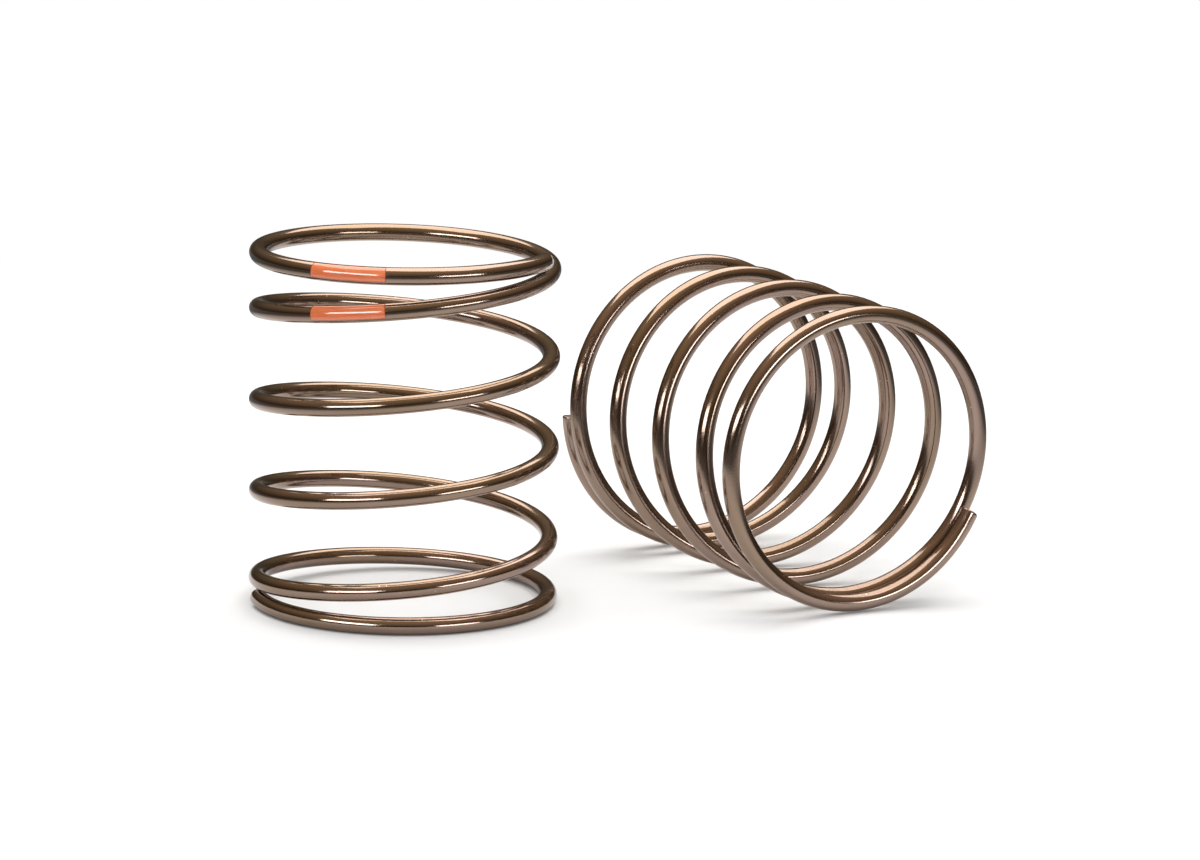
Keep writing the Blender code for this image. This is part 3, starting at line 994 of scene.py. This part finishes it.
print(f"the floor is plain white from {FAR / MM:.0f} mm out")

# %% World: white for the camera, a room with a brighter ceiling for everything else
ROOM_LEVEL = 0.10
CEILING_LEVEL = 0.72
WALL_TOP, CEILING = 0.15, 0.95           # sine of the height, between which it brightens

world = bpy.data.worlds.new("studio")
bpy.context.scene.world = world
world.use_nodes = True
tree = world.node_tree
light_path = add_node(tree, "ShaderNodeLightPath")
direction = add_node(tree, "ShaderNodeTexCoord").outputs["Generated"]
sky_height = add_node(tree, "ShaderNodeSeparateXYZ", direction).outputs["Z"]
ceiling = add_node(
    tree, MAP_RANGE,
    {
        "Value": sky_height, "From Min": WALL_TOP, "From Max": CEILING,
        "To Min": ROOM_LEVEL, "To Max": CEILING_LEVEL,
    },
)
level = add_node(
    tree, MAP_RANGE,
    {"Value": light_path.outputs["Is Camera Ray"], "To Min": ceiling, "To Max": 1.0},
)
tint = add_node(
    tree, MIX,
    {0: light_path.outputs["Is Glossy Ray"], 6: (1.0, 1.0, 1.0, 1.0), 7: linear("#e9cda9")},
    data_type="RGBA",
)
set_inputs(tree, tree.nodes["Background"], {"Strength": level, "Color": tint})
print(f"walls {ROOM_LEVEL:.2f}, ceiling {CEILING_LEVEL:.2f}")

# %% [markdown]
# ## Lights
# Bright metal shows its lights more than its colour. A large softbox overhead gives the
# pale line along the top of each coil. Two low strip lights beside the camera draw the thin
# highlights, and only shiny surfaces see them, so they throw no streaks on the floor. A
# softbox in front does the opposite: it lights the paint and the floor, and the metal
# doesn't mirror it. Each lamp's power comes from the brightness that its face should have,
# so its size can change on its own.

# %% Softboxes
TARGET = Vector((0.0, 0.0, 12 * MM))


def softbox(name, azimuth, elevation, distance, width, height, brightness, tint):
    """Area lamp that faces the springs. Azimuth is from the camera's side towards +X."""
    a, e = math.radians(azimuth), math.radians(elevation)
    towards = Vector((math.sin(a) * math.cos(e), -math.cos(a) * math.cos(e), math.sin(e)))
    data = bpy.data.lights.new(name, "AREA")
    data.shape = "RECTANGLE"
    data.size, data.size_y = width, height
    data.energy = brightness * math.pi * width * height
    data.color = linear(tint)[:3]
    lamp = bpy.data.objects.new(name, data)
    lamp.location = TARGET + towards * distance
    lamp.rotation_euler = towards.to_track_quat("Z", "Y").to_euler()
    lamp.visible_camera = False
    bpy.context.scene.collection.objects.link(lamp)
    print(f"{name}: {data.energy:.1f} W")
    return lamp


# azimuth, elevation, distance, width, height, brightness and colour
softbox("overhead_softbox", 180, 71, 0.56, 0.70, 0.68, 2.9, "#fffdfa")
fill = softbox("front_fill", 0, 42, 0.60, 0.44, 0.30, 2.7, "#ffffff")
fill.visible_glossy = False
for strip in (
    softbox("left_strip", -40, 19, 0.60, 0.42, 0.13, 9.0, "#f2f6ff"),
    softbox("right_strip", 42, 7, 0.60, 0.34, 0.10, 8.0, "#f2f6ff"),
):
    strip.visible_diffuse = False

# %% [markdown]
# ## Camera
# A long lens from a little above, turned by under a degree as a hand-levelled tripod is.

# %% Camera
CAMERA_PLACE = Vector((-1.5, -363.4, 84.2)) * MM
LOOKING_DOWN = math.radians(11.285)
ROLL = math.radians(0.925)
LENS, SENSOR_WIDTH = 146.7, 36.0         # mm
NEAREST_SEEN = 10 * MM

camera_data = bpy.data.cameras.new("camera")
camera_data.lens = LENS
camera_data.sensor_width = SENSOR_WIDTH
camera_data.clip_start = NEAREST_SEEN
camera = bpy.data.objects.new("camera", camera_data)
forward = Vector((0.0, math.cos(LOOKING_DOWN), -math.sin(LOOKING_DOWN)))
level_right = Vector((1.0, 0.0, 0.0))
level_up = level_right.cross(forward)
right = level_right * math.cos(ROLL) + level_up * math.sin(ROLL)
facing = Matrix((right, right.cross(forward), -forward)).transposed()
camera.matrix_world = Matrix.Translation(CAMERA_PLACE) @ facing.to_4x4()
bpy.context.scene.collection.objects.link(camera)
bpy.context.scene.camera = camera
bpy.context.scene.view_settings.view_transform = "Standard"
print(f"camera {-CAMERA_PLACE.y / MM:.0f} mm in front, {LENS:.0f} mm lens")
